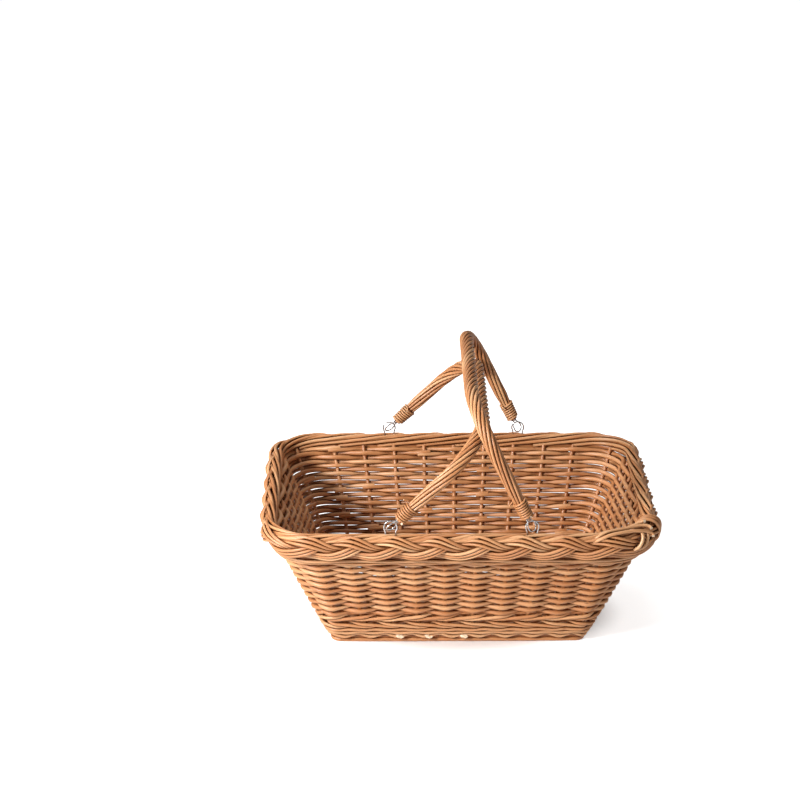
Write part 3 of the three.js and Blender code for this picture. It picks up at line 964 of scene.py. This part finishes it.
def knotRods(values):
    for count, tone, step, places in values["bundles"]:
        for k in range(count):
            shift = Vector(step) * (k - (count - 1) / 2)
            path = smoothPath([Vector(place) + shift for place in places], values["steps"])
            points = []
            for along, up, depth in path:
                points.append(borderPoint(values["corner"] + along / sum(rollLengths), up, depth))
            rodTone = tone + seed.uniform(*values["tonePlay"])
            yield rodOf(points, values["rodDiameter"] / 2, values["taper"], tone=rodTone)


rods = [*plaitRods(plaitValues), *topRods(topValues, plaitValues["strokes"])]
rods += [*underRods(ringValues), *knotRods(knotValues), *fillerRods(ringValues)]
layRods("plaited_border", rods, "buff", "basket", ["border"])
print("border plaited")


# Handles: nine rods twisted round a core, laid upright and then leaned over
handleValues = {
    "hinge": (76.0, 169.4),  # distance from the middle, height
    "halfSpan": 148.5,
    "cornerRadius": 66.0,
    "left": {"way": -1, "reach": 140.0, "lean": 46.0},  # reach from the hinge, degrees of lean
    "right": {"way": 1, "reach": 146.0, "lean": 26.0},
    "strands": 9,
    "strandDiameter": 3.9,
    "strandShare": 0.24,  # most of the handle's radius that a strand's radius may be
    "thickness": (0.93, 1.05),
    "coreInset": 0.86,  # core inside the handle's radius, over the strand's diameter
    "gripRadius": 8.0,
    "legRadius": 7.2,
    "neckRadii": (4.7, 6.2),  # at the binding's two ends
    "neckFade": 12,  # from the neck to the leg
    "swellStart": 60,
    "turns": (0.75, 3.0),  # degrees for each millimetre, on the legs and on the grip
    "turnStart": 45,
    "turnEnd": 10,  # below the handle's top
    "twistPlay": 0.05,
    "twistNoise": (0.11, 3.1),
    "firstGap": 0.4,  # from the binding's start
    "step": 3.6,
    "bindingStart": 11.6,
    "bindingLength": 24.0,
    "wireDiameter": 1.5,
    "wireSides": 10,
}


def leaned(points, side):
    values = handleValues[side]
    distance, height = handleValues["hinge"]
    hinge = Vector((values["way"] * distance, 0, height))
    turn = Matrix.Rotation(radians(-values["way"] * values["lean"]), 3, "Y")
    return [turn @ point + hinge for point in points]


# Middle line of the arch, from the front end to the back end
def archLine(start, reach, step):
    half, corner = handleValues["halfSpan"], handleValues["cornerRadius"]
    legTop = reach - corner
    legLength = legTop - start
    arcLength = corner * pi / 2
    barLength = (half - corner) * 2
    total = legLength * 2 + arcLength * 2 + barLength
    count = round(total / step)
    points = []
    for i in range(count + 1):
        walked = total * i / count
        mirrored = walked > total / 2
        part = total - walked if mirrored else walked
        if part < legLength:
            y, z = -half, start + part
        elif part < legLength + arcLength:
            angle = (part - legLength) / corner
            y, z = -half + corner - corner * cos(angle), legTop + corner * sin(angle)
        else:
            y, z = -half + corner + part - legLength - arcLength, reach
        points.append(Vector((0, -y if mirrored else y, z)))
    return points


def smoothShare(value):
    value = max(0.0, min(1.0, value))
    return value * value * (3 - 2 * value)


# Radius of the handle: tapered under the binding, then swelling from leg to grip
def handleRadius(height, reach):
    values = handleValues
    endRadius, topRadius = values["neckRadii"]
    neckTop = values["bindingStart"] + values["bindingLength"]
    if height < neckTop:
        share = (height - values["bindingStart"]) / values["bindingLength"]
        return endRadius + (topRadius - endRadius) * share
    legShare = smoothShare((height - neckTop) / values["neckFade"])
    swell = smoothShare((height - values["swellStart"]) / (reach - values["swellStart"]))
    radius = topRadius + (values["legRadius"] - topRadius) * legShare
    return radius + (values["gripRadius"] - values["legRadius"]) * swell


def makeGrip(side):
    values = handleValues
    reach = values[side]["reach"]
    line = archLine(values["bindingStart"] + values["firstGap"], reach, values["step"])
    count = values["strands"]
    legTurn, gripTurn = values["turns"]
    turnLength = reach - values["turnEnd"] - values["turnStart"]
    alongPitch, strandPitch = values["twistNoise"]
    paths = [[] for _ in range(count)]
    radii = []
    turn = 0.0
    for i, point in enumerate(line):
        after, before = line[min(i + 1, len(line) - 1)], line[max(i - 1, 0)]
        across = Vector((1, 0, 0))
        other = (after - before).normalized().cross(across)
        tightness = smoothShare((point.z - values["turnStart"]) / turnLength)
        rate = legTurn + (gripTurn - legTurn) * tightness
        turn += radians(rate) * (point - before).length
        outer = handleRadius(point.z, reach)
        rodRadius = min(values["strandDiameter"] / 2, outer * values["strandShare"])
        radii.append(rodRadius)
        circle = outer - rodRadius
        for k in range(count):
            play = noise.noise(Vector((i * alongPitch, k * strandPitch, reach)))
            angle = turn + k / count * tau + values["twistPlay"] * play
            spot = across * (circle * cos(angle)) + other * (circle * sin(angle))
            paths[k].append(point + spot)
    rods = []
    for path in paths:
        size = seed.uniform(*values["thickness"])
        rod = rodOf(leaned(path, side), 1.0)
        rod["radii"] = [radius * size for radius in radii]
        rods.append(rod)
    # The core shows between the strands, and its darkest tone is painted shade in the lines between
    # them
    core = rodOf(leaned(line, side), 1.0, tone=0.0)
    inset = values["strandDiameter"] * values["coreInset"]
    core["radii"] = [handleRadius(point.z, reach) - inset for point in line]
    rods.append(core)
    layRods(f"{side}_twisted_grip", rods, "buff", f"{side}_handle", [f"{side}_grip"])


# Binding: a thin rod wound round the end of a handle, with its tail tucked in
bindingValues = {
    "rodDiameter": 2.6,
    "taper": (1.0, 0.8),
    "turns": 7.5,
    "steps": 14,  # points in one turn
    "bedding": 0.9,  # rod's middle over the handle's surface, over the rod's radius
    "start": 0.8,  # radians, turned the other way at the back
    "tilt": 0.7,
    "wander": (0.5, 9, 40),
    "tail": ((2.5, 0.5, 0.8), (6.5, 1.8, 3.0)),  # on along the rod, outward, down
}


def makeBinding(side, place, way):
    values = bindingValues
    radius = values["rodDiameter"] / 2
    steps = int(values["turns"] * values["steps"])
    firstHeight = handleValues["bindingStart"] + radius
    length = handleValues["bindingLength"] - values["rodDiameter"]
    centre = Vector((0, way * handleValues["halfSpan"], 0))
    reach = handleValues[side]["reach"]
    points = []
    for i in range(steps + 1):
        share = i / steps
        height = firstHeight + length * share
        circle = handleRadius(height, reach) + radius * values["bedding"]
        circle += wander(i, way, values["wander"])
        angle = share * values["turns"] * tau + way * values["start"]
        tilt = values["tilt"] * cos(angle + way)
        spot = Vector((cos(angle) * circle, sin(angle) * circle, height + tilt))
        points.append(centre + spot)
    last = points[-1]
    tangent = (last - points[-2]).normalized()
    outward = (last - centre - zAxis * last.z).normalized()
    for along, out, down in values["tail"]:
        points.append(last + tangent * along + outward * out - zAxis * down)
    rods = [rodOf(leaned(points, side), radius, values["taper"])]
    name = f"{side}_{place}_wound_binding"
    layRods(name, rods, "weaver", f"{side}_handle", [f"{side}_{place}_binding"])


# Drop-shaped wire eye round the staple, with a thin wire wound twice round its shank
eyeValues = {
    "turn": 45,  # degrees round the upright
    # Sideways and up, down one side to the loop
    "shank": ((-1.6, 21.0), (-1.6, 12.0), (-1.7, 9.8), (-2.7, 8.0), (-4.4, 5.4), (-5.4, 2.8)),
    "loop": (5.6, 5.5, 0.5),  # half width, half height, height of its middle
    "loopSteps": 16,
    "wrap": (2.9, 1.5),  # half width and half depth
    "wrapHeights": (9.4, 2.6),  # start and rise
    "wrapTurns": 2,
    "wrapSteps": 28,
    "wrapRadius": 0.55,
}


def makeEye(side, place, way):
    values = eyeValues
    turn = radians(values["turn"])
    across = Vector((sin(turn), cos(turn), 0))
    front = Vector((cos(turn), -sin(turn), 0))
    centre = Vector((0, way * handleValues["halfSpan"], 0))
    halfWidth, halfHeight, middle = values["loop"]
    flat = list(values["shank"])
    for i in range(values["loopSteps"] + 1):
        angle = pi * (1 + i / values["loopSteps"])
        flat.append((halfWidth * cos(angle), middle + halfHeight * sin(angle)))
    flat += [(-u, up) for u, up in reversed(values["shank"])]
    path = [centre + across * u + zAxis * up for u, up in flat]
    rods = [rodOf(leaned(path, side), handleValues["wireDiameter"] / 2)]
    width, depth = values["wrap"]
    start, rise = values["wrapHeights"]
    wrap = []
    for i in range(values["wrapSteps"] + 1):
        angle = i / values["wrapSteps"] * tau * values["wrapTurns"]
        spot = centre + across * (width * cos(angle)) + front * (depth * sin(angle))
        wrap.append(spot + zAxis * (start + rise * i / values["wrapSteps"]))
    rods.append(rodOf(leaned(wrap, side), values["wrapRadius"]))
    name = f"{side}_{place}_wire_eye"
    layRods(name, rods, "wire", f"{side}_handle", [f"{side}_{place}_eye"],
            sides=handleValues["wireSides"])


# Wire staple: nearly a whole ring, whose ends turn down side by side into the border
stapleValues = {
    "radius": 7.0,
    "opening": 68,  # degrees, half of the ring's open part
    "steps": 28,
    "legs": ((2.5, 0.8), (5.5, 1.1), (9.0, 1.2), (13.0, 1.2)),  # down, inwards from the ring's end
}


def makeStaple(name, x, y):
    values = stapleValues
    radius = values["radius"]
    opening = radians(values["opening"])
    middle = handleValues["hinge"][1]
    ring = []
    for i in range(values["steps"] + 1):
        angle = -pi / 2 - opening - (tau - 2 * opening) * i / values["steps"]
        ring.append(Vector((x + cos(angle) * radius, y, middle + sin(angle) * radius)))
    low, half = ring[0].z, radius * sin(opening)
    left, right = [[Vector((x + way * (half - inward), y, low - fall))
                    for fall, inward in values["legs"]] for way in (-1, 1)]
    rods = [rodOf(left[::-1] + ring + right, handleValues["wireDiameter"] / 2)]
    layRods(f"wire_{name}", rods, "wire", "basket", [name], sides=handleValues["wireSides"])


for side in ("left", "right"):
    makeGrip(side)
    hingeX = handleValues[side]["way"] * handleValues["hinge"][0]
    for place, way in (("front", -1), ("back", 1)):
        makeBinding(side, place, way)
        makeEye(side, place, way)
        makeStaple(f"staple_{place}_{side}", hingeX, way * handleValues["halfSpan"])
print("handles made")


# Floor, in metres: it glows to the camera except under the basket, where the glow would show
# through the weave; the dimmer patch round the basket's foot is a painted shadow
floorValues = {
    "size": 14,
    "middle": (0, 3, 0),
    "paint": (0.9, 0.9, 0.9, 1),
    "roughness": 0.9,
    "specular": 0.1,
    "glow": 0.8,
    "glowLimits": (0.13, 0.20),  # distance from the middle: no glow, full glow
    "glowShape": (1, 1.55, 0),  # distances are stretched by this
}


def addFloor(values):
    bpy.ops.mesh.primitive_plane_add(size=values["size"], location=values["middle"])
    floor = bpy.context.object
    floor.name = "paleFloor"
    bpy.ops.object.transform_apply()
    material, tree, shader = newMaterial("paleFloorPaint")
    rays = addNode(tree, "LightPath", -600, -200).outputs["Is Camera Ray"]
    coords = addNode(tree, "TexCoord", -1200, -400).outputs["Object"]
    shape = {"Vector": coords, "Scale": values["glowShape"]}
    stretched = addNode(tree, "Mapping", -1000, -400, shape).outputs["Vector"]
    distance = addNode(tree, "VectorMath", -800, -400, {0: stretched}, operation="LENGTH")
    # The glow fades out under and round the basket, which gives no glow through the weave and a
    # painted shadow round the foot
    glowShare = addRange(tree, -600, -400, distance.outputs["Value"], values["glowLimits"],
                         (0, values["glow"]), interpolation_type="SMOOTHSTEP")
    setInputs(tree, shader, {
        "Base Color": values["paint"],
        "Roughness": values["roughness"],
        "Specular IOR Level": values["specular"],
        "Emission Color": (1, 1, 1, 1),
        "Emission Strength": addMath(tree, -300, -200, "MULTIPLY", rays, glowShare),
    })
    floor.data.materials.append(material)


# Places in metres, powers in watts
lightValues = {
    "world": 0.14,
    "worldColour": (1, 0.99, 0.97, 1),
    "aim": (0, 0, 0.12),
    "lamps": {
        "key": {"place": (-1.2, -1.0, 0.9), "size": 0.42, "power": 41},
        "fill": {"place": (2.0, -1.8, 1.2), "size": 2.0, "power": 5},
        "back": {"place": (-0.4, 1.2, 2.8), "size": 1.6, "power": 30},
    },
}


def addLamps(values):
    for name, lamp in values["lamps"].items():
        place = Vector(lamp["place"])
        facing = (Vector(values["aim"]) - place).to_track_quat("-Z", "Y").to_euler()
        bpy.ops.object.light_add(type="AREA", location=place, rotation=facing)
        light = bpy.context.object
        light.name = f"{name}Light"
        light.data.size = lamp["size"]
        light.data.energy = lamp["power"]


# The world is white to the camera and dim to everything else
def addWorld(values):
    world = bpy.data.worlds.new("paleRoom")
    world.use_nodes = True
    bpy.context.scene.world = world
    tree = world.node_tree
    tree.nodes.clear()
    rays = addNode(tree, "LightPath", -600, 200).outputs["Is Camera Ray"]
    dim = {"Color": values["worldColour"], "Strength": values["world"]}
    room = addNode(tree, "Background", -250, 0, dim).outputs["Background"]
    bright = {"Color": (1, 1, 1, 1), "Strength": 1.0}
    backdrop = addNode(tree, "Background", -250, -150, bright).outputs["Background"]
    mixed = addNode(tree, "MixShader", 0, 0, {"Fac": rays, 1: room, 2: backdrop})
    addNode(tree, "OutputWorld", 200, 0, {"Surface": mixed.outputs["Shader"]})
    bpy.context.scene.view_settings.view_transform = "Standard"


addFloor(floorValues)
addLamps(lightValues)
addWorld(lightValues)
print("floor and light set")
